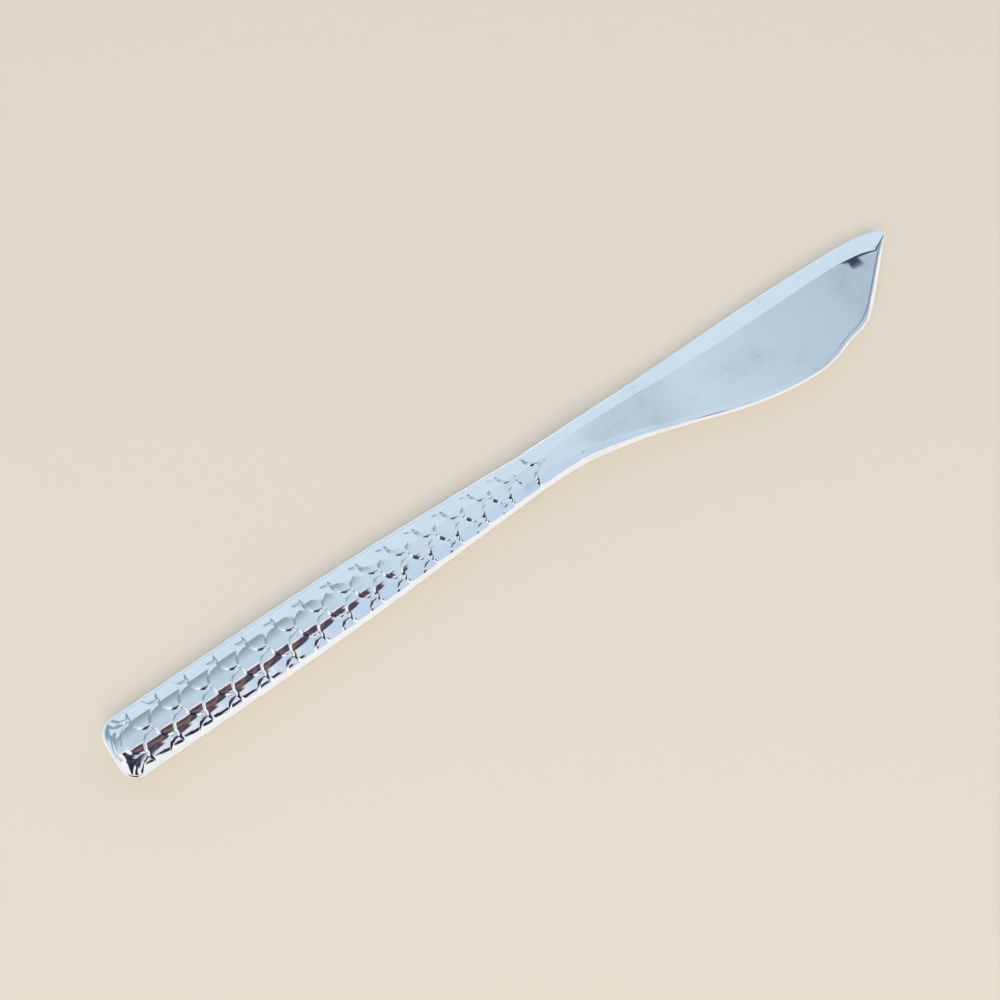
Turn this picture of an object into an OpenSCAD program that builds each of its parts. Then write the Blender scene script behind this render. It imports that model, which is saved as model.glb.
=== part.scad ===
// Fish knife forged in one length of stainless steel: an oval handle covered in overlapping scales, and a
// smooth flat blade with a ground band along its straight edge. The knife lies on its side, with the butt
// towards -X and the tip towards +X, the straight edge towards +Y and the handle's underside on Z = 0.
// It is alike on both sides.

/* [Handle] */
// Length of the handle, from the butt to where the smooth blade starts
handle_len = 112.7; // [95:0.1:130]
// Greatest width of the handle, over the scales
handle_w = 14.4; // [11:0.1:18]
// Greatest thickness of the handle, over the scales
handle_t = 7; // [6.5:0.1:10]
// Width of the neck, where the blade starts
neck_w = 9.7; // [7.5:0.1:11]
// Thickness of the neck, where the blade starts
neck_t = 6; // [4.5:0.1:8]
// How far the neck's middle lies below the handle's centreline, towards the belly
neck_drop = 0.2; // [0:0.05:1]
// Radius of the butt's corners, seen from above
corner_r = 3.6; // [2:0.1:4.5]
// Radius of the butt's end, seen from the side
butt_r = 2.5; // [1:0.1:2.5]

/* [Scales] */
// Scales in each row along the handle
scale_count = 15; // [11:1:18]
// From the butt to the free edge of the first scales
first_edge = 3.2; // [2.8:0.1:4.2]
// From the free edge of the half-covered scale at the butt to the first whole one
butt_scale = 1.7; // [1:0.1:2.2]
// Smooth collar between the last scales and the blade
collar_w = 0.6; // [0.6:0.1:2]
// Height of a scale's free edge
scale_step = 0.45; // [0.15:0.01:0.5]
// How far a scale bulges across, along its middle
scale_bulge = 0.1; // [0.02:0.01:0.15]
// How far a scale bulges lengthwise, from its free edge to the next one
scale_dome = 0.14; // [0.02:0.01:0.16]
// Length over which a free edge rises, from foot to top
edge_draft = 0.5; // [0.1:0.01:0.55]

/* [Blade] */
// Length of the blade, from the handle to the tip
blade_len = 99.3; // [80:0.1:120]
// From the handle's centreline to the belly's lowest point
belly_depth = 19; // [15:0.1:24]
// Thickness of the blade between its flat cheeks
blade_t = 2.4; // [1.6:0.1:3.4]
// Thickness of the ground band at the straight edge
edge_t = 1; // [0.4:0.1:1.4]
// Width of the ground band along the straight edge
band_w = 4.3; // [3:0.1:5.5]
// Most that the straight edge is rounded, seen from above, where the neck is thick
edge_round = 0.8; // [0.6:0.1:1.2]
// Width of the rounded rim along the belly and the slanted end
rim_w = 1.4; // [0.8:0.1:2]
// Length over which the neck thins down to the blade
thin_len = 38; // [20:1:55]
// How far the straight edge falls from the neck to the tip
tip_drop = 4.8; // [3:0.1:6]
// Thickness of the blade at the tip
tip_t = 1; // [0.5:0.1:1.5]
// Width of the tip's blunt end
tip_w = 0.5; // [0.2:0.1:1]

/* [Hidden] */

// Rows of scales round the handle, and lines of points from one row to the next
rows = 8;
row_lines = 6;
lines = rows * row_lines;
quarter = lines / 4;
// How far the shoulder rows lean from the flank towards the crown, in degrees
row_lean = 12;
// Height of the relief at the flank, as a share of its height at the crown
flank_share = 0.35;
// Height of the half-covered scale at the butt, as a share of a free edge's height
butt_scale_share = 0.8;

// Width and thickness of the handle: how much of the way from the handle's size to the neck's is done, along it
taper_shares = [[0, 0], [0.32, 0], [0.47, 0.065], [0.6, 0.2], [0.75, 0.52], [0.9, 0.83], [0.97, 0.98], [1, 1]];
// Belly: how far it has come from the neck's lower side down to the belly's depth, along the blade
belly_shares = [
    [0, 0], [0.07, 0.02], [0.2, 0.19], [0.33, 0.463], [0.46, 0.772], [0.53, 0.895], [0.6, 0.973], [0.663, 1],
    [0.712, 0.957], [0.76, 0.86], [0.81, 0.79], [0.84, 0.69]];
// Slanted end: how far it has come from the belly's end up to the tip, along the blade
slant_shares = [[0.87, 0.165], [0.93, 0.54], [1, 1]];
// Straight edge: how much of its fall to the tip is done, along the blade
straight_shares = [
    [0, 0], [0.1, 0.055], [0.3, 0.105], [0.56, 0.09], [0.69, 0.13], [0.84, 0.25], [0.92, 0.36], [0.96, 0.5],
    [0.985, 0.665], [0.997, 0.82], [1, 0.95]];
// Width of the ground band along the blade, as shares of its greatest width
band_shares = [
    [0, 0.65], [0.2, 0.68], [0.44, 0.92], [0.56, 1], [0.68, 0.98], [0.84, 0.9], [0.9, 0.95], [1, 1.3]];
// Width of the rounded rim along the blade, as shares of its greatest width
rim_shares = [[0, 0.7], [0.35, 0.75], [0.6, 1], [1, 1]];
// Thickness from the cheeks' to the tip's, along the blade
tip_thin_shares = [[0, 0], [0.8, 0], [1, 1]];
// Most of the blade's width that the band and the rim may take, near the tip
tip_fill_share = 0.94;
// Length over which the oval neck turns into the flat section with its band, as a share of the blade's length
ridge_share = 0.12;
// Places of the butt's rings, from the end to the half-covered scale
butt_shares = [0, 0.02, 0.07, 0.15, 0.27, 0.43, 0.62, 0.82];
// How much closer the blade's rings of points lie at its ends than at its middle
ring_lean_share = 0.6;

// Lines where the flat blade's stretches start, counted from the crown towards the straight edge or the belly
ridge_line = 4;
corner_line = 8;
rim_line = -8;
// Rings of points along the blade
blade_rings = 48;

relief = scale_step + scale_bulge;
pitch = (handle_len - collar_w - first_edge) / scale_count;
reach = pitch / 2;
origin_x = (handle_len + blade_len) / 2;
origin_y = (handle_w / 2 - belly_depth) / 2;
origin_z = handle_t / 2;
// How steeply the ground band falls away from the cheek
band_fall = (blade_t - edge_t) / 2 / band_w;

function between(a, b, s) = a + (b - a) * s;
function eased(s) = let(k = min(max(s, 0), 1)) k * k * (3 - 2 * k);

// A smooth curve through the points of a table, which doesn't swing past them
function rise(table, i) = (table[i + 1][1] - table[i][1]) / (table[i + 1][0] - table[i][0]);
function slope(table, i) =
    i == 0 ? rise(table, 0) :
    i == len(table) - 1 ? rise(table, i - 1) :
    let(p = rise(table, i - 1), q = rise(table, i)) p * q <= 0 ? 0 : 2 * p * q / (p + q);
function stretch(table, s, i = 0) = i > len(table) - 3 || s < table[i + 1][0] ? i : stretch(table, s, i + 1);
function curve(table, s) =
    let(
        i = stretch(table, s),
        d = table[i + 1][0] - table[i][0],
        k = (s - table[i][0]) / d)
    between(table[i][1], table[i + 1][1], k * k * (3 - 2 * k))
        + d * k * (1 - k) * (slope(table, i) * (1 - k) - slope(table, i + 1) * k);

// Place of a line round the girth. Line 0 runs along the crown, and the lines go round by the straight edge
function row_of(line) = floor(line / row_lines);
function across(line) = (1 - cos(180 * (line / row_lines - row_of(line)))) / 2;
function row_angle(row) = 360 * row / rows - row_lean * sin(90 * row);
function angle(line) = between(row_angle(row_of(line)), row_angle(row_of(line) + 1), across(line));
// Distance of a line from the nearest even row, where 1 is the odd row next to it
function off_even(line) = row_of(line) % 2 == 0 ? across(line) : 1 - across(line);

// A quarter round, as the inset that it leaves at a distance from the end
function inset(r, x) = x < r ? r - sqrt(r * r - (r - x) * (r - x)) : 0;
function width(x) = between(handle_w, neck_w, curve(taper_shares, x / handle_len));
function thickness(x) = between(handle_t, neck_t, curve(taper_shares, x / handle_len));
function middle(x) = let(s = curve(taper_shares, x / handle_len)) -neck_drop * s * s;

// A point of the handle: h is its height above the ground that the scales stand on
function skin(x, line, h) =
    let(
        a = width(x) / 2 - relief * flank_share - inset(corner_r, x),
        b = thickness(x) / 2 - relief - inset(butt_r, x),
        s = sin(angle(line)),
        c = cos(angle(line)),
        out = h * between(1, flank_share, s * s * s * s) / norm([b * s, a * c]))
    [x, middle(x) + a * s + out * b * s, b * c + out * a * c];

// Free edges of the scales. Each is half an ellipse that bulges towards the butt. Odd rows lie half a pitch on
function even_edge(i, e) = first_edge + pitch * i + reach * (1 - sqrt(1 - e * e));
function odd_edge(i, e) = first_edge + pitch * i + reach * (2 - sqrt(e * (2 - e)));
// Height of a scale, at a share of the way from its free edge to where the next one covers it
function fall(s) = scale_step * (1 - s) + scale_dome * 4 * s * (1 - s);
function even_top(i, x, e) = fall((x - first_edge) / pitch - i) + scale_bulge * (1 - e * e);
function odd_top(i, x, e) = fall((x - first_edge - reach) / pitch - i) + scale_bulge * e * (2 - e);

// Foot and top of a free edge on one line. Where it meets the next edge, its top is only halfway up
function free_edge(x, line, low, high, meets = false) = [
    skin(x, line, low),
    skin(meets ? x + edge_draft / 2 : x + edge_draft, line, high)];
// A point on the body of a scale, midway from the top of its free edge to the next free edge
function body_of(x, next) = (x + edge_draft + next) / 2;

// All points along one line of the handle, from the butt to the neck
function handle_line(line) =
    let(
        e = off_even(line),
        start = even_edge(0, e) - butt_scale,
        butt_top = scale_step * butt_scale_share * (1 - e * e))
    concat(
        [for (s = butt_shares) skin(start * s, line, 0)],
        free_edge(start, line, 0, butt_top),
        [for (i = [0:scale_count - 1])
            let(
                x = even_edge(i, e),
                y = odd_edge(i, e),
                last = i == scale_count - 1,
                next = last ? handle_len : even_edge(i + 1, e),
                before = i == 0 ? butt_top : odd_top(i - 1, x, e))
            each concat(
                free_edge(x, line, before, even_top(i, x, e), e == 1),
                [skin(body_of(x, y), line, even_top(i, body_of(x, y), e))],
                free_edge(y, line, even_top(i, y, e), last ? relief : odd_top(i, y, e), e == 0 && !last),
                [skin(body_of(y, next), line, last ? relief : odd_top(i, body_of(y, next), e))])],
        [skin(handle_len, line, relief)]);

// Points of an even and an odd scale along a line: foot and top of the free edge, and one on the scale's body
scale_points = 6;
butt_points = len(butt_shares) + 2;
handle_points = butt_points + scale_points * scale_count + 1;
even_foot = 0;
even_body = 2;
odd_foot = 3;
odd_body = 5;
// Where two free edges meet, on a row's own line, no body lies between them and the middle point is shared
function shared(line, n) =
    let(
        i = floor((n - butt_points) / scale_points),
        k = (n - butt_points) % scale_points,
        e = off_even(line))
    i < 0 || i >= scale_count ? n :
    e == 1 && k == even_body ? n - 1 :
    e == 1 && k == odd_foot ? n - 2 :
    e == 0 && k == odd_body && i < scale_count - 1 ? n - 1 :
    e == 0 && k == even_foot && i > 0 ? n - 2 : n;

// A closed skin over the points of all lines, each with the same count of points
module skinned(points, count, edges_meet = false) {
    function place(line, n) = (line % lines) * count + (edges_meet ? shared(line % lines, n) : n);
    function corners(a, b, c) = a == b || b == c || a == c ? [] : [[a, b, c]];
    sides = [
        for (line = [0:lines - 1], n = [0:count - 2])
            let(
                a = place(line, n),
                b = place(line, n + 1),
                c = place(line + 1, n + 1),
                d = place(line + 1, n))
            each concat(corners(a, c, b), corners(a, d, c))];
    // Each end is closed with strips from the upper side to the underside
    ends = [
        for (line = [-quarter:quarter - 1])
            let(
                upper = [line + lines, line + lines + 1],
                under = [2 * quarter - line - 1, 2 * quarter - line],
                butt = [for (m = concat(upper, under)) place(m, 0)],
                tip = [for (m = concat(upper, under)) place(m, count - 1)])
            each concat(
                corners(butt[0], butt[2], butt[1]),
                corners(butt[0], butt[3], butt[2]),
                corners(tip[0], tip[1], tip[2]),
                corners(tip[0], tip[2], tip[3]))];
    polyhedron(points, concat(sides, ends));
}

// Outline of the blade, at a share of its length
neck_high = neck_w / 2 - neck_drop;
neck_low = -neck_w / 2 - neck_drop;
belly_fall = belly_depth + neck_low;
tip_low = neck_high - tip_drop - tip_w;
slant_start = belly_shares[len(belly_shares) - 1][1];
slant_end = (neck_low - tip_low) / belly_fall;
outline_table = concat(belly_shares, [for (p = slant_shares) [p[0], between(slant_start, slant_end, p[1])]]);
function straight(q) = neck_high - tip_drop * curve(straight_shares, q);
function belly(q) = neck_low - belly_fall * curve(outline_table, q);
function blade_thickness(q) =
    between(between(neck_t, blade_t, eased(q * blade_len / thin_len)), tip_t, curve(tip_thin_shares, q));

// The flat section's point on one line of its upper side: rounded rim, flat cheek, ground band, rounded edge
function flat_point(q, k) =
    let(
        high = straight(q),
        low = belly(q),
        band = band_w * curve(band_shares, q),
        edge = rim_w * curve(rim_shares, q),
        fit = min(1, (high - low) * tip_fill_share / (band + edge)),
        ridge = high - band * fit,
        rim = low + edge * fit,
        t = blade_thickness(q) / 2,
        r = max(t - band * fit * band_fall, min(edge_t / 2, t)),
        w = min(r, edge_round))
    k >= corner_line ?
        let(f = 90 * (k - corner_line) / (quarter - corner_line)) [high - w * (1 - sin(f)), r * cos(f)] :
    k >= ridge_line ?
        let(s = (k - ridge_line) / (corner_line - ridge_line)) [between(ridge, high - w, s), between(t, r, s)] :
    k >= rim_line ? [between(rim, ridge, (k - rim_line) / (ridge_line - rim_line)), t] :
    let(f = 90 * (rim_line - k) / (quarter + rim_line)) [rim - (rim - low) * sin(f), t * cos(f)];

// The neck's oval section, drawn out to the blade's width and thickness
function oval_point(q, line) =
    let(
        p = skin(handle_len, line, relief),
        high = straight(q),
        low = belly(q),
        middle = (high + low) / 2)
    [middle + (p[1] + neck_drop) * (high - low) / neck_w, p[2] * blade_thickness(q) / neck_t];

function blade_point(q, line) =
    let(
        m = line > 2 * quarter ? line - lines : line,
        upper = abs(m) <= quarter,
        k = upper ? m : sign(m) * 2 * quarter - m,
        flat = flat_point(q, k),
        p = between(oval_point(q, line), [flat[0], upper ? flat[1] : -flat[1]], eased(q / ridge_share)))
    [handle_len + blade_len * q, p[0], p[1]];

// Rings of points lie closer together towards the neck and the tip
function ring_share(n) = let(s = n / blade_rings) between(s, (1 - cos(180 * s)) / 2, ring_lean_share);

module handle() {
    color([0.8, 0.83, 0.86])
        translate([-origin_x, -origin_y, origin_z])
            skinned([for (line = [0:lines - 1]) each handle_line(line)], handle_points, true);
}

module blade() {
    color([0.75, 0.8, 0.85])
        translate([-origin_x, -origin_y, origin_z])
            skinned(
                [for (line = [0:lines - 1], n = [0:blade_rings]) blade_point(ring_share(n), line)],
                blade_rings + 1);
}

handle();
blade();
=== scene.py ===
import math
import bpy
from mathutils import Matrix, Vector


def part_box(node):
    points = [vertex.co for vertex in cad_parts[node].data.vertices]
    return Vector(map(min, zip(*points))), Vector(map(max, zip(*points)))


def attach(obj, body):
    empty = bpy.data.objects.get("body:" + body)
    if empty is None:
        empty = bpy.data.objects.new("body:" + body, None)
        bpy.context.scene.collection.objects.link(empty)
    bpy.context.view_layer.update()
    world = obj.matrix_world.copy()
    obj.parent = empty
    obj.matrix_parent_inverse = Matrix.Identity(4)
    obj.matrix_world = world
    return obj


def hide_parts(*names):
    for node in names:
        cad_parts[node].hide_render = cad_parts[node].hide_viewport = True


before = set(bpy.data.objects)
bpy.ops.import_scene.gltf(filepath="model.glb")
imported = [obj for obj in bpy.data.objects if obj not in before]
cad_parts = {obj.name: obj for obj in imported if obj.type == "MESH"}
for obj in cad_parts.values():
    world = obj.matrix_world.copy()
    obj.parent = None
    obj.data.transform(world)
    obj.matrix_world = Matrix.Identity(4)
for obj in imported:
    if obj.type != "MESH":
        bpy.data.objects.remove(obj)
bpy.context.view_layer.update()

from types import SimpleNamespace

import bpy
import numpy as np
from mathutils import Matrix, Vector

MM = 0.001

# Sizes that the frame gives: the handle and the blade lie end to end along X
HANDLE_LOW, HANDLE_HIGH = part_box("handle")
BLADE_LOW, BLADE_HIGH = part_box("blade")
HANDLE_LEN = HANDLE_HIGH.x - HANDLE_LOW.x
HANDLE_W = HANDLE_HIGH.y - HANDLE_LOW.y
HANDLE_T = HANDLE_HIGH.z - HANDLE_LOW.z
BLADE_LEN = BLADE_HIGH.x - BLADE_LOW.x
CENTRE = Vector((HANDLE_LOW.x, (HANDLE_LOW.y + HANDLE_HIGH.y) / 2, (HANDLE_LOW.z + HANDLE_HIGH.z) / 2))
BELLY_DEPTH = CENTRE.y - BLADE_LOW.y
NECK_T = BLADE_HIGH.z - BLADE_LOW.z

# Handle
NECK_W = 9.7 * MM
NECK_DROP = 0.2 * MM
CORNER_R = 3.6 * MM
BUTT_R = 2.5 * MM
TAPER_SHARES = ((0, 0), (0.32, 0), (0.47, 0.065), (0.6, 0.2), (0.75, 0.52), (0.9, 0.83), (0.97, 0.98), (1, 1))

# Scales
ROWS = 8
ROW_LEAN = math.radians(12)
SCALE_COUNT = 15
FIRST_EDGE = 3.2 * MM
BUTT_SCALE = 1.7 * MM
COLLAR_W = 0.6 * MM
SCALE_STEP = 0.45 * MM
SCALE_BULGE = 0.1 * MM
SCALE_DOME = 0.14 * MM
LAST_DOME = -0.06 * MM
EDGE_RUN = 0.8 * MM
LAST_EDGE_RUN = 1.1 * MM
ROW_GAP = 4.2 * MM
FLANK_SHARE = 0.35
BUTT_SCALE_SHARE = 0.8
RELIEF = SCALE_STEP + SCALE_BULGE
PITCH = (HANDLE_LEN - COLLAR_W - FIRST_EDGE) / SCALE_COUNT
REACH = PITCH / 2

# Blade
BLADE_T = 2.4 * MM
EDGE_T = 1 * MM
LEAST_EDGE_T = 0.12 * MM
BAND_W = 4.3 * MM
BAND_FALL = (BLADE_T - EDGE_T) / 2 / BAND_W
EDGE_ROUND = 0.8 * MM
RIM_W = 1.4 * MM
THIN_LEN = 38 * MM
TIP_DROP = 4.8 * MM
TIP_T = 1 * MM
TIP_W = 0.5 * MM
RIDGE_R = 0.12 * MM
LEAST_BAND = 0.01 * MM
TIP_ROUND = 0.25 * MM
TIP_LEAST_SHARE = 0.4
BELLY_SHARES = (
    (0, 0), (0.07, 0.02), (0.2, 0.19), (0.33, 0.463), (0.46, 0.772), (0.53, 0.895), (0.6, 0.973), (0.663, 1),
    (0.712, 0.957), (0.76, 0.86), (0.81, 0.79), (0.84, 0.69))
SLANT_SHARES = ((0.87, 0.165), (0.93, 0.54), (1, 1))
STRAIGHT_SHARES = (
    (0, 0), (0.1, 0.055), (0.3, 0.105), (0.56, 0.09), (0.69, 0.13), (0.84, 0.25), (0.92, 0.36), (0.96, 0.5),
    (0.985, 0.665), (0.997, 0.82), (1, 0.95))
BAND_SHARES = (
    (0, 0.65), (0.2, 0.68), (0.44, 0.92), (0.56, 1), (0.68, 0.98), (0.84, 0.9), (0.9, 0.95), (1, 1.3))
RIM_SHARES = ((0, 1.8), (0.12, 1.8), (0.3, 1.2), (0.6, 1), (0.78, 1), (0.88, 1.5), (0.96, 1.4), (1, 1))
TIP_THIN_SHARES = ((0, 0), (0.8, 0), (1, 1))
TIP_FILL_SHARE = 0.94
RIDGE_SHARE = 0.12
RING_LEAN_SHARE = 0.6

# Floor, as polished steel sees it, which is a painted reflection: white up to the first distance past the
# straight edge, and pale blue from the second one. Beside the blade both lie farther out, which starts and
# ends at a distance from the neck.
# CORNER_HALF is half the square of painted dark reflection past the butt, and its edge is soft between the
# last two distances
FLOOR_WHITE = 2 * MM
FLOOR_BLUE = 10 * MM
FLOOR_WIDER = 12 * MM
WIDER_FROM, WIDER_TO = -30 * MM, 20 * MM
CORNER_HALF = 8 * MM
CORNER_EDGE = (CORNER_HALF - MM, CORNER_HALF - 2 * MM)
FLOOR_HALF, FLOOR_ROUGH = 2, 0.9

# Lamp, in metres and watts
LAMP_PLACE, LAMP_SIZE = Vector((-0.5, -0.7, 1.3)), 1.6
LAMP_POWER, LAMP_COLOUR = 15, (1, 0.86, 0.74)

# Points of the skin: lines run along the knife, rings run round it
ROW_LINES = 24
LINES = ROWS * ROW_LINES
QUARTER = LINES // 4
RIM_LINE, RIDGE_LINE, CORNER_LINE = -QUARTER * 2 // 3, QUARTER // 3, QUARTER * 5 // 6
BUTT_RINGS = 26
EDGE_STEPS = (-0.06, 0, 0.06, 0.18, 0.35, 0.52, 0.7, 0.85, 1, 1.1)
BODY_RINGS = 4
COLLAR_RINGS = 4
BLADE_RINGS = 260

# Keeps a division from dividing by nothing
TINY = 1e-15


def between(a, b, s):
    return a + (b - a) * s


def eased(s):
    k = np.clip(s, 0, 1)
    return k * k * (3 - 2 * k)


def curve(table, s):
    """A smooth curve through the points of a table, which doesn't swing past them."""
    xs, ys = np.array(table, float).T
    rise = np.diff(ys) / np.diff(xs)
    slope = np.zeros(len(xs))
    slope[0], slope[-1] = rise[0], rise[-1]
    same = rise[:-1] * rise[1:] > 0
    slope[1:-1][same] = 2 * (rise[:-1] * rise[1:])[same] / (rise[:-1] + rise[1:])[same]
    i = np.clip(np.searchsorted(xs, s, side="right") - 1, 0, len(xs) - 2)
    d = xs[i + 1] - xs[i]
    k = (s - xs[i]) / d
    bend = d * k * (1 - k) * (slope[i] * (1 - k) - slope[i + 1] * k)
    return between(ys[i], ys[i + 1], k * k * (3 - 2 * k)) + bend


# Places round the girth. Line 0 runs along the crown, and the lines go round by way of the straight edge
line = np.arange(LINES)
row = line // ROW_LINES
across = (1 - np.cos(math.pi * (line % ROW_LINES) / ROW_LINES)) / 2


def row_angle(n):
    return math.tau * n / ROWS - ROW_LEAN * np.sin(math.pi / 2 * n)


line_angle = between(row_angle(row), row_angle(row + 1), across)
off_even = np.where(row % 2 == 0, across, 1 - across)


def inset(r, x):
    """A quarter round, as the inset that it leaves at a distance from the end."""
    return r - np.sqrt(r * r - np.clip(r - x, 0, r) ** 2)


def skin(x, angle, height):
    """Points of the handle. height is over the ground that the scales stand on."""
    taper = curve(TAPER_SHARES, x / HANDLE_LEN)
    a = between(HANDLE_W, NECK_W, taper) / 2 - RELIEF * FLANK_SHARE - inset(CORNER_R, x)
    b = between(HANDLE_T, NECK_T, taper) / 2 - RELIEF - inset(BUTT_R, x)
    s, c = np.sin(angle), np.cos(angle)
    out = height * between(1, FLANK_SHARE, s ** 4) / np.hypot(b * s, a * c)
    return np.stack([x, -NECK_DROP * taper ** 2 + a * s + out * b * s, b * c + out * a * c], -1)


def even_edge(i, e):
    return FIRST_EDGE + PITCH * i + REACH * (1 - np.sqrt(1 - e * e))


def odd_edge(i, e):
    return FIRST_EDGE + PITCH * i + REACH * (2 - np.sqrt(e * (2 - e)))


def cover(x, e, start, run=EDGE_RUN):
    """How far a scale covers a place: 0 off it, 1 on it, rounded over its free edge. e is 0 in its middle."""
    u = (x - start - REACH) / REACH
    round_end = np.hypot(u, e)
    steep = np.hypot(u / REACH, e / ROW_GAP) / np.maximum(round_end, TINY)
    inside = np.where(u < 0, (1 - round_end) / np.maximum(steep, TINY), (1 - e) * ROW_GAP)
    k = np.clip(inside / run, 0, 1)
    return k * (2 - k)


def fall(s, dome=SCALE_DOME):
    """Height of a scale along its middle, from its free edge to where the next one covers it."""
    return SCALE_STEP * (1 - s) + dome * 4 * s * (1 - s)


def relief_height(x, e):
    """Height of the scales, which lie over each other from the butt to the blade."""
    height = SCALE_STEP * BUTT_SCALE_SHARE * (1 - e * e) * cover(x, e, FIRST_EDGE - BUTT_SCALE)
    for i in range(SCALE_COUNT):
        along = (x - FIRST_EDGE) / PITCH - i
        dome = LAST_DOME if i == SCALE_COUNT - 1 else SCALE_DOME
        even = fall(along, dome) + SCALE_BULGE * (1 - e * e)
        height += (even - height) * cover(x, e, FIRST_EDGE + PITCH * i)
        odd, run = fall(along - 1 / 2) + SCALE_BULGE * e * (2 - e), EDGE_RUN
        if i == SCALE_COUNT - 1:
            odd, run = RELIEF, between(EDGE_RUN, LAST_EDGE_RUN, e)
        height += (odd - height) * cover(x, 1 - e, FIRST_EDGE + PITCH * i + REACH, run)
    return height


def handle_places(e):
    """Places of the handle's rings along one line, closer together at the free edges."""
    start = even_edge(0, e) - BUTT_SCALE
    edges = [start] + [f(i, e) for i in range(SCALE_COUNT) for f in (even_edge, odd_edge)]
    run = EDGE_RUN * np.array(EDGE_STEPS)
    places = list((start + run[0]) * (np.arange(BUTT_RINGS) / BUTT_RINGS) ** 2)
    for here, after in zip(edges, edges[1:] + [HANDLE_LEN]):
        places += list(here + run)
        rings = COLLAR_RINGS if after == HANDLE_LEN else BODY_RINGS
        places += [between(here + run[-1], after + run[0], k / (rings + 1)) for k in range(1, rings + 1)]
    return np.minimum(np.sort(places + [HANDLE_LEN]), HANDLE_LEN)


def handle_skin():
    x = np.array([handle_places(e) for e in off_even])
    e = np.broadcast_to(off_even[:, None], x.shape)
    return skin(x, line_angle[:, None], relief_height(x, e))


def blade_outline(q):
    """The straight edge and the belly, across the knife."""
    neck_high, neck_low = NECK_W / 2 - NECK_DROP, -NECK_W / 2 - NECK_DROP
    fall = BELLY_DEPTH + neck_low
    slant_from, slant_to = BELLY_SHARES[-1][1], (neck_low - neck_high + TIP_DROP + TIP_W) / fall
    slant = tuple((s, between(slant_from, slant_to, k)) for s, k in SLANT_SHARES)
    return neck_high - TIP_DROP * curve(STRAIGHT_SHARES, q), neck_low - fall * curve(BELLY_SHARES + slant, q)


def blade_thickness(q):
    thin = between(NECK_T, BLADE_T, eased(q * BLADE_LEN / THIN_LEN))
    return between(thin, TIP_T, curve(TIP_THIN_SHARES, q))


def clustered(s):
    return (1 - np.cos(math.pi * s)) / 2


def flat_section(q, k):
    """Upper side of the flat blade's section: rounded rim, cheek, ground band and rounded straight edge."""
    high, low = blade_outline(q)
    band = BAND_W * curve(BAND_SHARES, q)
    edge = RIM_W * curve(RIM_SHARES, q)
    fit = np.minimum(1, (high - low) * TIP_FILL_SHARE / (band + edge))
    ridge, rim = high - band * fit, low + edge * fit
    t = blade_thickness(q) / 2
    thinned, least = t - band * fit * BAND_FALL, LEAST_EDGE_T / 2
    r = (thinned + least + np.sqrt((thinned - least) ** 2 + least ** 2)) / 2
    w = np.minimum(r, EDGE_ROUND)
    arc = math.pi / 2 * (k - CORNER_LINE) / (QUARTER - CORNER_LINE)
    dip = math.pi / 2 * (RIM_LINE - k) / (QUARTER + RIM_LINE)
    on_band = between(ridge, high - w, clustered((k - RIDGE_LINE) / (CORNER_LINE - RIDGE_LINE)))
    on_cheek = between(rim, ridge, clustered((k - RIM_LINE) / (RIDGE_LINE - RIM_LINE)))
    y = np.select(
        [k >= CORNER_LINE, k >= RIDGE_LINE, k >= RIM_LINE],
        [high - w * (1 - np.sin(arc)), on_band, on_cheek], rim - (rim - low) * np.sin(dip))
    past = y - ridge
    drop = (t - r) / np.maximum(high - w - ridge, LEAST_BAND) * (past + np.sqrt(past ** 2 + RIDGE_R ** 2)) / 2
    z = np.select([k >= CORNER_LINE, k >= RIM_LINE], [r * np.cos(arc), t - drop], t * np.cos(dip))
    return y, z


def blade_skin():
    s = np.arange(BLADE_RINGS + 1) / BLADE_RINGS
    q = between(s, clustered(s), RING_LEAN_SHARE)[None, :]
    m = np.where(line > 2 * QUARTER, line - LINES, line)
    upper = np.abs(m) <= QUARTER
    k = np.where(upper, m, np.sign(m) * 2 * QUARTER - m)[:, None]
    flat_y, flat_z = flat_section(q, k)
    flat_z = np.where(upper[:, None], flat_z, -flat_z)
    neck = skin(np.full(LINES, HANDLE_LEN), line_angle, RELIEF)
    high, low = blade_outline(q)
    oval_y = (high + low) / 2 + (neck[:, 1:2] + NECK_DROP) * (high - low) / NECK_W
    oval_z = neck[:, 2:3] * blade_thickness(q) / NECK_T
    turned = eased(q / RIDGE_SHARE)
    y, z = between(oval_y, flat_y, turned), between(oval_z, flat_z, turned)
    left = np.clip((1 - q) * BLADE_LEN / TIP_ROUND, 0, 1)
    blunt = between(TIP_LEAST_SHARE, 1, np.sqrt(1 - (1 - left) ** 2))
    middle = (high + low) / 2
    x = np.broadcast_to(HANDLE_LEN + BLADE_LEN * q, y.shape)
    return np.stack([x, middle + (y - middle) * blunt, z * blunt], -1)


def normals_of(points):
    """Normals of the skin, from the points beside each one, and along the knife at its two ends."""
    normals = np.cross(np.gradient(points, axis=1), np.roll(points, -1, 0) - np.roll(points, 1, 0))
    normals /= np.maximum(np.linalg.norm(normals, axis=-1, keepdims=True), TINY)
    normals[:, 0] = (-1, 0, 0)
    normals[:, -1] = (1, 0, 0)
    return normals


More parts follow.
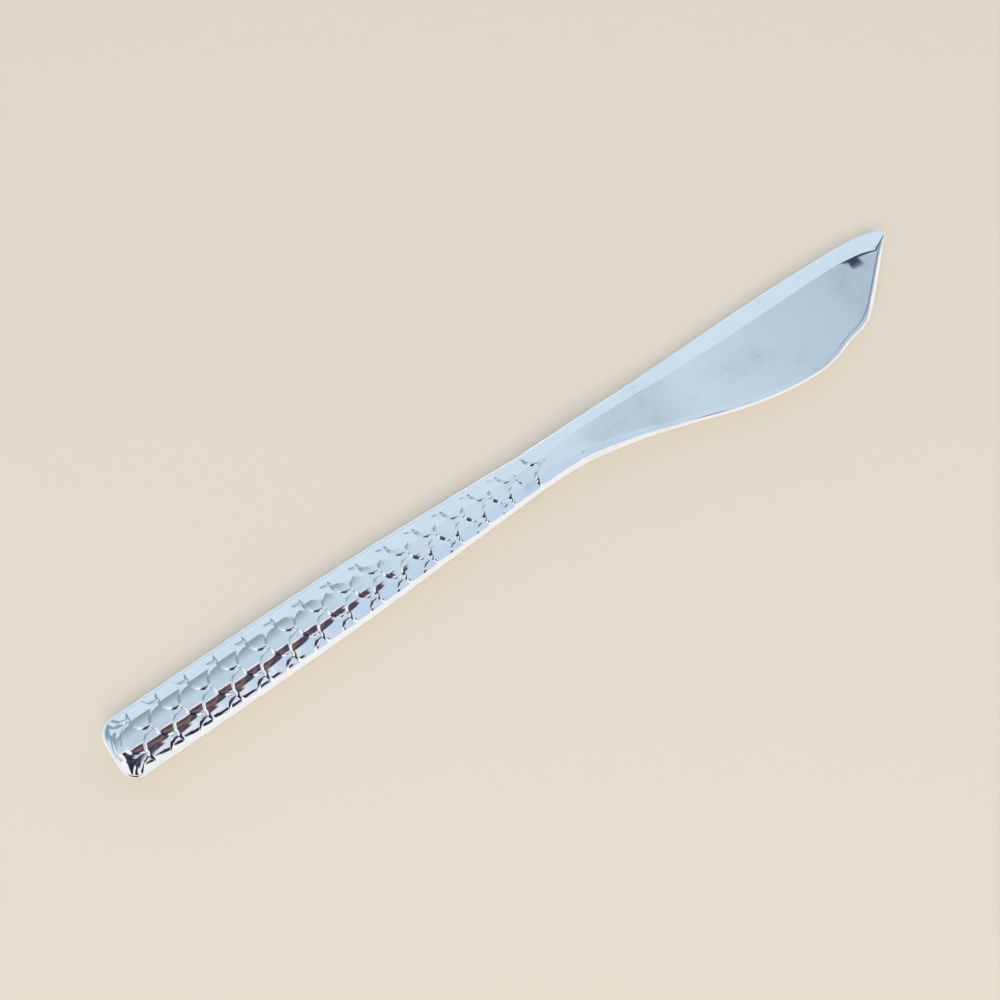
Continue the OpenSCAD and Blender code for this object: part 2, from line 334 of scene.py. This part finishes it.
def make_piece(name, rings, material, node):
    """A closed mesh from a stretch of the knife's rings, in place of a CAD node."""
    points, normals = knife[:, rings], knife_normals[:, rings]
    count = points.shape[1]
    n, m = np.meshgrid(np.arange(LINES), np.arange(count - 1), indexing="ij")
    here, after = n * count + m, (n + 1) % LINES * count + m
    faces = np.stack([here, here + 1, after + 1, after], -1).reshape(-1, 4).tolist()
    for k in range(-QUARTER, QUARTER):
        strip = [k % LINES, (k + 1) % LINES, (2 * QUARTER - k - 1) % LINES, (2 * QUARTER - k) % LINES]
        strip = [v * count for i, v in enumerate(strip) if v != strip[i - 1]]
        faces += [strip, [v + count - 1 for v in reversed(strip)]]
    mesh = bpy.data.meshes.new(name)
    mesh.from_pydata((points + np.array(CENTRE)).reshape(-1, 3).tolist(), [], faces)
    mesh.shade_smooth()
    mesh.normals_split_custom_set_from_vertices(normals.reshape(-1, 3).tolist())
    mesh.materials.append(material)
    piece = bpy.data.objects.new(name, mesh)
    bpy.context.scene.collection.objects.link(piece)
    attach(piece, "root")
    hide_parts(node)
    return piece


class Tree:
    """Adds nodes to a material's or a world's node tree. Its functions return sockets."""

    def __init__(self, owner):
        owner.use_nodes = True
        self.tree = owner.node_tree
        self.tree.nodes.clear()

    def put(self, value, socket):
        """Links a socket to another one, or sets its value."""
        if isinstance(value, bpy.types.NodeSocket):
            self.tree.links.new(value, socket)
        else:
            socket.default_value = value

    def add(self, kind, inputs=(), **settings):
        node = self.tree.nodes.new(kind)
        for key, value in settings.items():
            setattr(node, key, value)
        for key, value in dict(inputs).items():
            self.put(value, node.inputs[key])
        return node

    def finish(self, kind, shader):
        self.tree.links.new(shader.outputs[0], self.add(kind).inputs[0])

    def math(self, operation, *values):
        return self.add("ShaderNodeMath", dict(enumerate(values)), operation=operation).outputs[0]

    def both(self, a, b):
        return self.math("MULTIPLY", a, b)

    def shifted(self, value, share, by):
        """A value, moved by an amount as far as a share says."""
        return self.math("ADD", value, self.both(share, by))

    def ramp(self, value, low, high):
        """0 at low, 1 at high, eased between them."""
        inputs = {"Value": value, "From Min": low, "From Max": high}
        return self.add("ShaderNodeMapRange", inputs, interpolation_type="SMOOTHSTEP").outputs["Result"]

    def within(self, value, low, high, soft):
        """1 between low and high, and 0 past them."""
        rising, falling = self.ramp(value, low - soft, low + soft), self.ramp(value, high + soft, high - soft)
        return self.both(rising, falling)

    def mix(self, share, a, b):
        """Two colours mixed. The node takes the share first, and colours as its seventh and eighth input."""
        node = self.add("ShaderNodeMix", data_type="RGBA")
        for index, value in zip((0, 6, 7), (share, a, b)):
            self.put(value, node.inputs[index])
        return node.outputs[2]

    def noise(self, place, scale, detail, roughness=0.5):
        inputs = {"Vector": place, "Scale": scale, "Detail": detail, "Roughness": roughness}
        return self.add("ShaderNodeTexNoise", inputs).outputs["Fac"]

    def patches(self, place, noise, turns, colours):
        """Patches of two colours. turns are the values between which one colour turns to the other."""
        return self.mix(self.ramp(self.noise(place, *noise), *turns), *colours)

    def vector(self, operation, *values):
        return self.add("ShaderNodeVectorMath", dict(enumerate(values)), operation=operation).outputs


def srgb(red, green, blue):
    """A colour written as it looks on a screen, from 0 to 255, as Blender's linear one."""
    def linear(v):
        v /= 255
        return v / 12.92 if v <= 0.04045 else ((v + 0.055) / 1.055) ** 2.4

    return linear(red), linear(green), linear(blue), 1


# Colours of the surroundings and of the steels
WHITE = srgb(255, 255, 255)
SKY_BUTT, SKY, SKY_TIP = srgb(199, 218, 232), srgb(207, 226, 239), srgb(183, 200, 215)
FAR_GREY, FAR_BRIGHT, FAR_LOW = srgb(150, 167, 176), srgb(213, 232, 247), srgb(219, 235, 248)
FAR_LINE, FAR_CORNER = srgb(146, 165, 186), srgb(140, 158, 176)
LILACS = srgb(212, 216, 232), srgb(236, 238, 248)
NEAR_BLUE, NEAR_BLUE_TIP = srgb(200, 221, 240), srgb(186, 206, 224)
RIM_LIGHT = srgb(250, 252, 255)
BROWNS, BROWN_TIP = (srgb(130, 108, 108), srgb(70, 60, 76)), srgb(84, 74, 88)
NAVIES = srgb(56, 60, 84), srgb(86, 88, 106)
# NEAR_CORNER is also the painted dark reflection that the floor shows polished steel past the butt
STREAK, NEAR_CORNER = srgb(44, 46, 78), srgb(50, 50, 76)
BEAM, POST = srgb(116, 134, 158), srgb(58, 68, 98)
# The floor's own colour, and the pale blue of the painted reflection that polished steel sees on the floor
# past the knife
FLOOR, PAINTED_BLUE_FLOOR_REFLECTION = srgb(228, 217, 200), srgb(212, 228, 242)
STEEL, DULL_STEEL, WIPED_STEEL = srgb(239, 240, 242), srgb(231, 232, 234), srgb(219, 220, 220)

# Noises, as their scale and detail, and the values between which they turn from one colour to the other
ROUGH_NOISE, LILAC_NOISE, BROWN_NOISE, NAVY_NOISE = (9, 3), (5, 2), (14, 3), (11, 3)
LILAC_TURNS, BROWN_TURNS, NAVY_TURNS = (0.4, 0.6), (0.42, 0.6), (0.4, 0.6)

# Angles of the surroundings in degrees. A name with AT says on which angle it lies, and holds where a share
# starts and where it is full. Three values are a low end, a high end and how soft both are
ROUGH_ANGLE, ROUGH_SIDE_SHARE, ROUGH_EDGE_SHARE = 9, 0.5, 2
BUTT_AT_TIP, BLADE_AT_ALONG = (9, 3), (8.5, 11.5)
SKY_AT_TIP, SKY_TIP_AT_TIP = (2, 12), (15, 31)
GREY_AT_SIDE = (-13, -38)
BRIGHT_SIDE, BRIGHT_SOFT = -26, 1.5
BRIGHT_OVER_BUTT, BRIGHT_PAST_TIP, PAST_TIP_AT_TIP = -15, 10.5, (33, 35)
NEAR_AT_SIDE, NEAR_BLUE_AT_ALONG, NEAR_BLUE_TIP_AT_ALONG = (14, 24), (-5, 5), (15, 22)
RIM_LIGHT_SIDES = (0.6, 3, 0.6)
BROWN_TIP_AT_TIP, NAVY_AT_TIP = (-2, 3), (-9, -13)
SHAPES_AT_SIDE, SHAPES_END_AT_SIDE, SHAPES_END_AT_TIP = (2, 3.4), (33, 30), (8, 6.5)
SHAPES_LONGER, LONGER_AT_TIP = -11, (-10, -16)
SHAPES_SOONER, SOONER_AT_SIDE = 11, (15, 24)
STREAK_SIDES, STREAK_AT_TIP = (50, 66, 1.5), (0.5, -3)
BEAM_SIDES, BEAM_AT_TIP = (-7, 2, 1.5), (26, 28)
POST_TIPS, POST_SIDES = (32.1, 36, 0.2), (-19, -12.7, 0.15)
KNOB_TIPS, KNOB_SIDES = (32.55, 33.8, 0.1), (-13, -12.08, 0.03)
LOW_AT_HEIGHT, END_AT_ALONG = (20, 14), (53, 58)
BLADE_LIFT, NEAR_LIFT, NEAR_LIFT_AT_SIDE = 8, 7, (40, 60)
WINDOW_AT_TIP, WINDOW_AT_SIDE = (-14, -18), (-10, -4)
WINDOW_LATER, LATER_SIDES = 11, (12, 25, 4)
WINDOW_WIDER, WIDER_AT_TIP = -12, (-26, -32)
NEAR_WHITE_AT_SIDE, FAR_LOW_AT_SIDE = (74, 80), (-14, -40)
FAR_WHITE_AT_SIDE, FAR_WHITE_AT_ALONG = (-64, -70), (19, 23)
NEAR_CORNER_TURNS, NEAR_CORNER_AT_SIDE = (114, 145, 4), (15, 22)
FAR_LINE_ALONGS, FAR_LINE_AT_SIDE = (-43, -20, 3), (-18, -26)
FAR_CORNER_TURNS, FAR_CORNER_AT_HEIGHT = (-150, -112, 6), (25, 17)
WORLD_STRENGTH = 1.05


def directions(tree):
    """Where a place of the surroundings lies, as angles in degrees.

    tip and side lean from straight up, towards the tip and towards the side that the belly faces. height and
    along stand over the level plane and over the plane across the knife, and turn goes round from the tip.
    """
    place = tree.add("ShaderNodeTexCoord").outputs["Generated"]
    part = tree.add("ShaderNodeSeparateXYZ", {"Vector": place}).outputs
    degree = 180 / math.pi
    at = SimpleNamespace(place=place)
    at.tip = tree.both(tree.math("ARCTAN2", part["X"], part["Z"]), degree)
    at.side = tree.both(tree.math("ARCTAN2", part["Y"], part["Z"]), -degree)
    at.turn = tree.both(tree.math("ARCTAN2", part["Y"], part["X"]), -degree)
    at.height = tree.both(tree.math("ARCSINE", part["Z"]), degree)
    at.along = tree.both(tree.math("ARCSINE", part["X"]), degree)
    rough = tree.both(tree.math("SUBTRACT", tree.noise(place, *ROUGH_NOISE), 0.5), ROUGH_ANGLE)
    at.rough_tip = tree.math("ADD", at.tip, rough)
    at.rough_side = tree.shifted(at.side, rough, ROUGH_SIDE_SHARE)
    at.rough_edge = tree.shifted(at.side, rough, ROUGH_EDGE_SHARE)
    at.over_butt = tree.ramp(at.rough_tip, *BUTT_AT_TIP)
    at.over_blade = tree.ramp(at.along, *BLADE_AT_ALONG)
    return at


def overhead(tree, at):
    """Pale blue, duller towards the tip."""
    colour = tree.mix(tree.ramp(at.tip, *SKY_AT_TIP), SKY_BUTT, SKY)
    return tree.mix(tree.ramp(at.tip, *SKY_TIP_AT_TIP), colour, SKY_TIP)


def far_side(tree, at, colour):
    """A grey stretch over the handle, and a bright one past it."""
    grey = tree.both(tree.ramp(at.side, *GREY_AT_SIDE), at.over_butt)
    colour = tree.mix(grey, colour, FAR_GREY)
    border = tree.shifted(BRIGHT_SIDE, at.over_butt, BRIGHT_OVER_BUTT)
    border = tree.shifted(border, tree.ramp(at.tip, *PAST_TIP_AT_TIP), BRIGHT_PAST_TIP)
    past_border = tree.math("SUBTRACT", border, at.side)
    return tree.mix(tree.ramp(past_border, 0, BRIGHT_SOFT), colour, FAR_BRIGHT)


def near_side(tree, at, colour):
    """Lilac or pale blue, and over the handle brown and navy shapes with a bright rim and a dark streak."""
    lilac = tree.patches(at.place, LILAC_NOISE, LILAC_TURNS, LILACS)
    lilac = tree.mix(tree.ramp(at.along, *NEAR_BLUE_AT_ALONG), lilac, NEAR_BLUE)
    lilac = tree.mix(tree.ramp(at.along, *NEAR_BLUE_TIP_AT_ALONG), lilac, NEAR_BLUE_TIP)
    colour = tree.mix(tree.ramp(at.side, *NEAR_AT_SIDE), colour, lilac)
    rim_light = tree.both(tree.within(at.rough_side, *RIM_LIGHT_SIDES), at.over_butt)
    colour = tree.mix(rim_light, colour, RIM_LIGHT)
    dark = tree.patches(at.place, BROWN_NOISE, BROWN_TURNS, BROWNS)
    dark = tree.mix(tree.ramp(at.rough_tip, *BROWN_TIP_AT_TIP), dark, BROWN_TIP)
    navy = tree.patches(at.place, NAVY_NOISE, NAVY_TURNS, NAVIES)
    dark = tree.mix(tree.ramp(at.rough_tip, *NAVY_AT_TIP), dark, navy)
    edge = tree.shifted(at.rough_edge, tree.ramp(at.tip, *LONGER_AT_TIP), SHAPES_LONGER)
    shapes = tree.both(tree.ramp(at.rough_side, *SHAPES_AT_SIDE), tree.ramp(edge, *SHAPES_END_AT_SIDE))
    # The shapes end sooner towards the tip where they are far down
    end = tree.shifted(at.rough_tip, tree.ramp(at.side, *SOONER_AT_SIDE), SHAPES_SOONER)
    colour = tree.mix(tree.both(shapes, tree.ramp(end, *SHAPES_END_AT_TIP)), colour, dark)
    streak = tree.both(tree.within(at.rough_edge, *STREAK_SIDES), tree.ramp(at.tip, *STREAK_AT_TIP))
    return tree.mix(streak, colour, STREAK)


def past_tip(tree, at, colour):
    """A dark beam, and a darker post with a knob, which the cheek shows at the tip."""
    beam = tree.both(tree.within(at.side, *BEAM_SIDES), tree.ramp(at.tip, *BEAM_AT_TIP))
    post = tree.both(tree.within(at.tip, *POST_TIPS), tree.within(at.side, *POST_SIDES))
    knob = tree.both(tree.within(at.tip, *KNOB_TIPS), tree.within(at.side, *KNOB_SIDES))
    colour = tree.mix(beam, colour, BEAM)
    return tree.mix(tree.math("MAXIMUM", post, knob), colour, POST)


def low_down(tree, at, colour):
    """White near the level and past the butt, and pale blue there on the far side."""
    lift = tree.both(at.over_blade, BLADE_LIFT)
    near_lift = tree.both(tree.ramp(at.side, *NEAR_LIFT_AT_SIDE), NEAR_LIFT)
    level = tree.ramp(tree.math("ADD", at.height, tree.math("MAXIMUM", lift, near_lift)), *LOW_AT_HEIGHT)
    level = tree.math("MAXIMUM", level, tree.ramp(at.along, *END_AT_ALONG))
    window_tip = tree.shifted(at.tip, tree.within(at.side, *LATER_SIDES), WINDOW_LATER)
    window_side = tree.shifted(at.side, tree.ramp(at.tip, *WIDER_AT_TIP), WINDOW_WIDER)
    window = tree.both(tree.ramp(window_tip, *WINDOW_AT_TIP), tree.ramp(window_side, *WINDOW_AT_SIDE))
    near = tree.ramp(tree.math("SUBTRACT", at.side, lift), *NEAR_WHITE_AT_SIDE)
    white = tree.math("MAXIMUM", tree.math("MAXIMUM", window, level), near)
    tone = tree.mix(tree.ramp(at.side, *FAR_LOW_AT_SIDE), WHITE, FAR_LOW)
    colour = tree.mix(white, colour, tone)
    far = tree.both(tree.ramp(at.side, *FAR_WHITE_AT_SIDE), tree.ramp(at.along, *FAR_WHITE_AT_ALONG))
    return tree.mix(far, colour, WHITE)


def corners(tree, at, colour):
    """Past the butt: a dark corner on the near side, and on the far side a grey one under a grey stretch."""
    corner = tree.both(tree.within(at.turn, *NEAR_CORNER_TURNS), tree.ramp(at.side, *NEAR_CORNER_AT_SIDE))
    colour = tree.mix(corner, colour, NEAR_CORNER)
    above = tree.both(tree.within(at.along, *FAR_LINE_ALONGS), tree.ramp(at.side, *FAR_LINE_AT_SIDE))
    colour = tree.mix(above, colour, FAR_LINE)
    corner = tree.both(tree.within(at.turn, *FAR_CORNER_TURNS), tree.ramp(at.height, *FAR_CORNER_AT_HEIGHT))
    return tree.mix(corner, colour, FAR_CORNER)


def make_world():
    """A soft studio: pale blue overhead, white near the level, and darker shapes for the steel to show."""
    world = bpy.data.worlds.new("studio")
    bpy.context.scene.world = world
    tree = Tree(world)
    at = directions(tree)
    colour = overhead(tree, at)
    for part in far_side, near_side, past_tip, low_down, corners:
        colour = part(tree, at, colour)
    background = tree.add("ShaderNodeBackground", {"Color": colour, "Strength": WORLD_STRENGTH})
    tree.finish("ShaderNodeOutputWorld", background)


# The steels' marks: polishing marks, clouds of smear and gentle waves
MARKS_NOISE, CLOUD_NOISE, WAVES_NOISE = (1, 4, 0.65), (95, 4, 0.6), (260, 2)
SMEAR_IN_CLOUD, SMEAR_IN_MARKS, WIPED_SHARE = (0.45, 0.8), (0.2, 0.8), 0.3
MARKS_SHARE, BUMP_STRENGTH, BUMP_HEIGHT = 0.3, 0.35, 0.004 * MM
RELIEF_GRAIN, RELIEF_HAZES = (900, 900, 900), (0.03, 0.08)
CHEEK_GRAIN, CHEEK_HAZES = (420, 1500, 900), (0.02, 0.06)
WIPED_DOWN, WIPED_SIZE = 0.4, (16 * MM, 8 * MM, 2 * BLADE_T)


def make_steel(name, dull, grain, hazes, wiped):
    """Mirror-polished steel. grain stretches its polishing marks, and hazes are its least and most roughness.

    wiped is the middle and the size of a place that is wiped duller than the rest.
    """
    material = bpy.data.materials.new(name)
    tree = Tree(material)
    place = tree.add("ShaderNodeTexCoord").outputs["Object"]
    stretched = tree.add("ShaderNodeMapping", {"Vector": place, "Scale": grain}).outputs[0]
    marks = tree.noise(stretched, *MARKS_NOISE)
    middle, size = wiped
    off = tree.vector("DIVIDE", tree.vector("SUBTRACT", place, middle)[0], size)[0]
    off = tree.vector("LENGTH", off)["Value"]
    cloud = tree.shifted(tree.noise(place, *CLOUD_NOISE), tree.ramp(off, 1, 0), WIPED_SHARE)
    smear = tree.both(tree.ramp(cloud, *SMEAR_IN_CLOUD), tree.ramp(marks, *SMEAR_IN_MARKS))
    haze = tree.shifted(hazes[0], smear, hazes[1] - hazes[0])
    waves = tree.shifted(tree.noise(place, *WAVES_NOISE), marks, MARKS_SHARE)
    tint = tree.mix(smear, STEEL, dull)
    inputs = {"Strength": BUMP_STRENGTH, "Distance": BUMP_HEIGHT, "Height": waves}
    bump = tree.add("ShaderNodeBump", inputs).outputs[0]
    inputs = {"Base Color": tint, "Metallic": 1, "Roughness": haze, "Normal": bump}
    tree.finish("ShaderNodeOutputMaterial", tree.add("ShaderNodeBsdfPrincipled", inputs))
    return material


def make_floor():
    """A plain pale floor, which keeps the shadow.

    Polished steel sees it as a painted reflection: white, pale blue past the knife, and dark in a square past
    the butt's near corner.
    """
    half = FLOOR_HALF
    mesh = bpy.data.meshes.new("floor")
    outline = [(-half, -half, 0), (half, -half, 0), (half, half, 0), (-half, half, 0)]
    mesh.from_pydata(outline, [], [(0, 1, 2, 3)])
    floor = bpy.data.objects.new("floor", mesh)
    bpy.context.scene.collection.objects.link(floor)
    material = bpy.data.materials.new("pale_floor_and_painted_reflection")
    tree = Tree(material)
    plain = tree.add("ShaderNodeBsdfPrincipled", {"Base Color": FLOOR, "Roughness": FLOOR_ROUGH})
    place = tree.add("ShaderNodeSeparateXYZ", {0: tree.add("ShaderNodeTexCoord").outputs["Object"]}).outputs
    beside = tree.math("SUBTRACT", place["Y"], CENTRE.y + HANDLE_W / 2)
    beside_blade = tree.ramp(place["X"], BLADE_LOW.x + WIDER_FROM, BLADE_LOW.x + WIDER_TO)
    # Painted reflection: pale blue on the floor past the knife, seen by glossy rays only
    painted_blue_share = tree.ramp(tree.shifted(beside, beside_blade, -FLOOR_WIDER), FLOOR_WHITE, FLOOR_BLUE)
    tone = tree.mix(painted_blue_share, WHITE, PAINTED_BLUE_FLOOR_REFLECTION)
    # Painted dark reflection: a square on the floor past the butt's near corner, seen by glossy rays only
    corner_x = tree.math("SUBTRACT", HANDLE_LOW.x - CORNER_HALF, place["X"])
    corner_y = tree.math("SUBTRACT", HANDLE_LOW.y - CORNER_HALF, place["Y"])
    corner = tree.math("MAXIMUM", tree.math("ABSOLUTE", corner_x), tree.math("ABSOLUTE", corner_y))
    tone = tree.mix(tree.ramp(corner, *CORNER_EDGE), tone, NEAR_CORNER)
    # The painted reflection glows for glossy rays only, and other rays see the plain floor with its shadow
    mirrored = tree.add("ShaderNodeEmission", {"Color": tone, "Strength": 1})
    is_mirrored = tree.add("ShaderNodeLightPath").outputs["Is Glossy Ray"]
    shader = tree.add("ShaderNodeMixShader", {0: is_mirrored, 1: plain.outputs[0], 2: mirrored.outputs[0]})
    tree.finish("ShaderNodeOutputMaterial", shader)
    mesh.materials.append(material)


def make_lamp():
    """A large soft lamp on the side that the belly faces. It brings the floor up to its own colour."""
    data = bpy.data.lights.new("soft_lamp", "AREA")
    data.shape, data.size = "DISK", LAMP_SIZE
    data.energy, data.color = LAMP_POWER, LAMP_COLOUR
    lamp = bpy.data.objects.new("soft_lamp", data)
    bpy.context.scene.collection.objects.link(lamp)
    lamp.matrix_world = Matrix.LocRotScale(LAMP_PLACE, LAMP_PLACE.to_track_quat("Z", "Y"), None)
    lamp.visible_glossy = False


def make_camera():
    """The camera stands over the handle, and leans a little towards the straight edge."""
    turn, tilt = math.radians(35.16), math.radians(14.5)
    height, along, aside = 260.7 * MM, 60.93 * MM, -56.36 * MM
    right = Vector((math.cos(turn), -math.sin(turn), 0))
    away = Vector((math.sin(turn), math.cos(turn), 0))
    ahead = away * math.sin(tilt) - Vector((0, 0, 1)) * math.cos(tilt)
    up = right.cross(ahead)
    data = bpy.data.cameras.new("camera")
    data.lens, data.sensor_width = 43.2, 36
    data.clip_start, data.clip_end = 0.01, 20
    camera = bpy.data.objects.new("camera", data)
    bpy.context.scene.collection.objects.link(camera)
    facing = Matrix((right, up, -ahead)).transposed().to_quaternion()
    camera.matrix_world = Matrix.LocRotScale(CENTRE + Vector((along, aside, height)), facing, None)
    bpy.context.scene.camera = camera


handle_points = handle_skin()
HANDLE_RINGS = handle_points.shape[1]
knife = np.concatenate([handle_points, blade_skin()[:, 1:]], 1)
knife_normals = normals_of(knife)
handled = CENTRE, (HANDLE_LEN / 2, HANDLE_W, HANDLE_T)
wiped = CENTRE + Vector((HANDLE_LEN + BLADE_LEN / 2, -BELLY_DEPTH * WIPED_DOWN, 0)), WIPED_SIZE
relief_steel = make_steel("relief_steel", DULL_STEEL, RELIEF_GRAIN, RELIEF_HAZES, handled)
cheek_steel = make_steel("cheek_steel", WIPED_STEEL, CHEEK_GRAIN, CHEEK_HAZES, wiped)
make_piece("scaled_handle", slice(0, HANDLE_RINGS), relief_steel, "handle")
make_piece("polished_blade", slice(HANDLE_RINGS - 1, None), cheek_steel, "blade")
make_world()
make_floor()
make_lamp()
make_camera()

bpy.context.scene.view_settings.view_transform = "Standard"
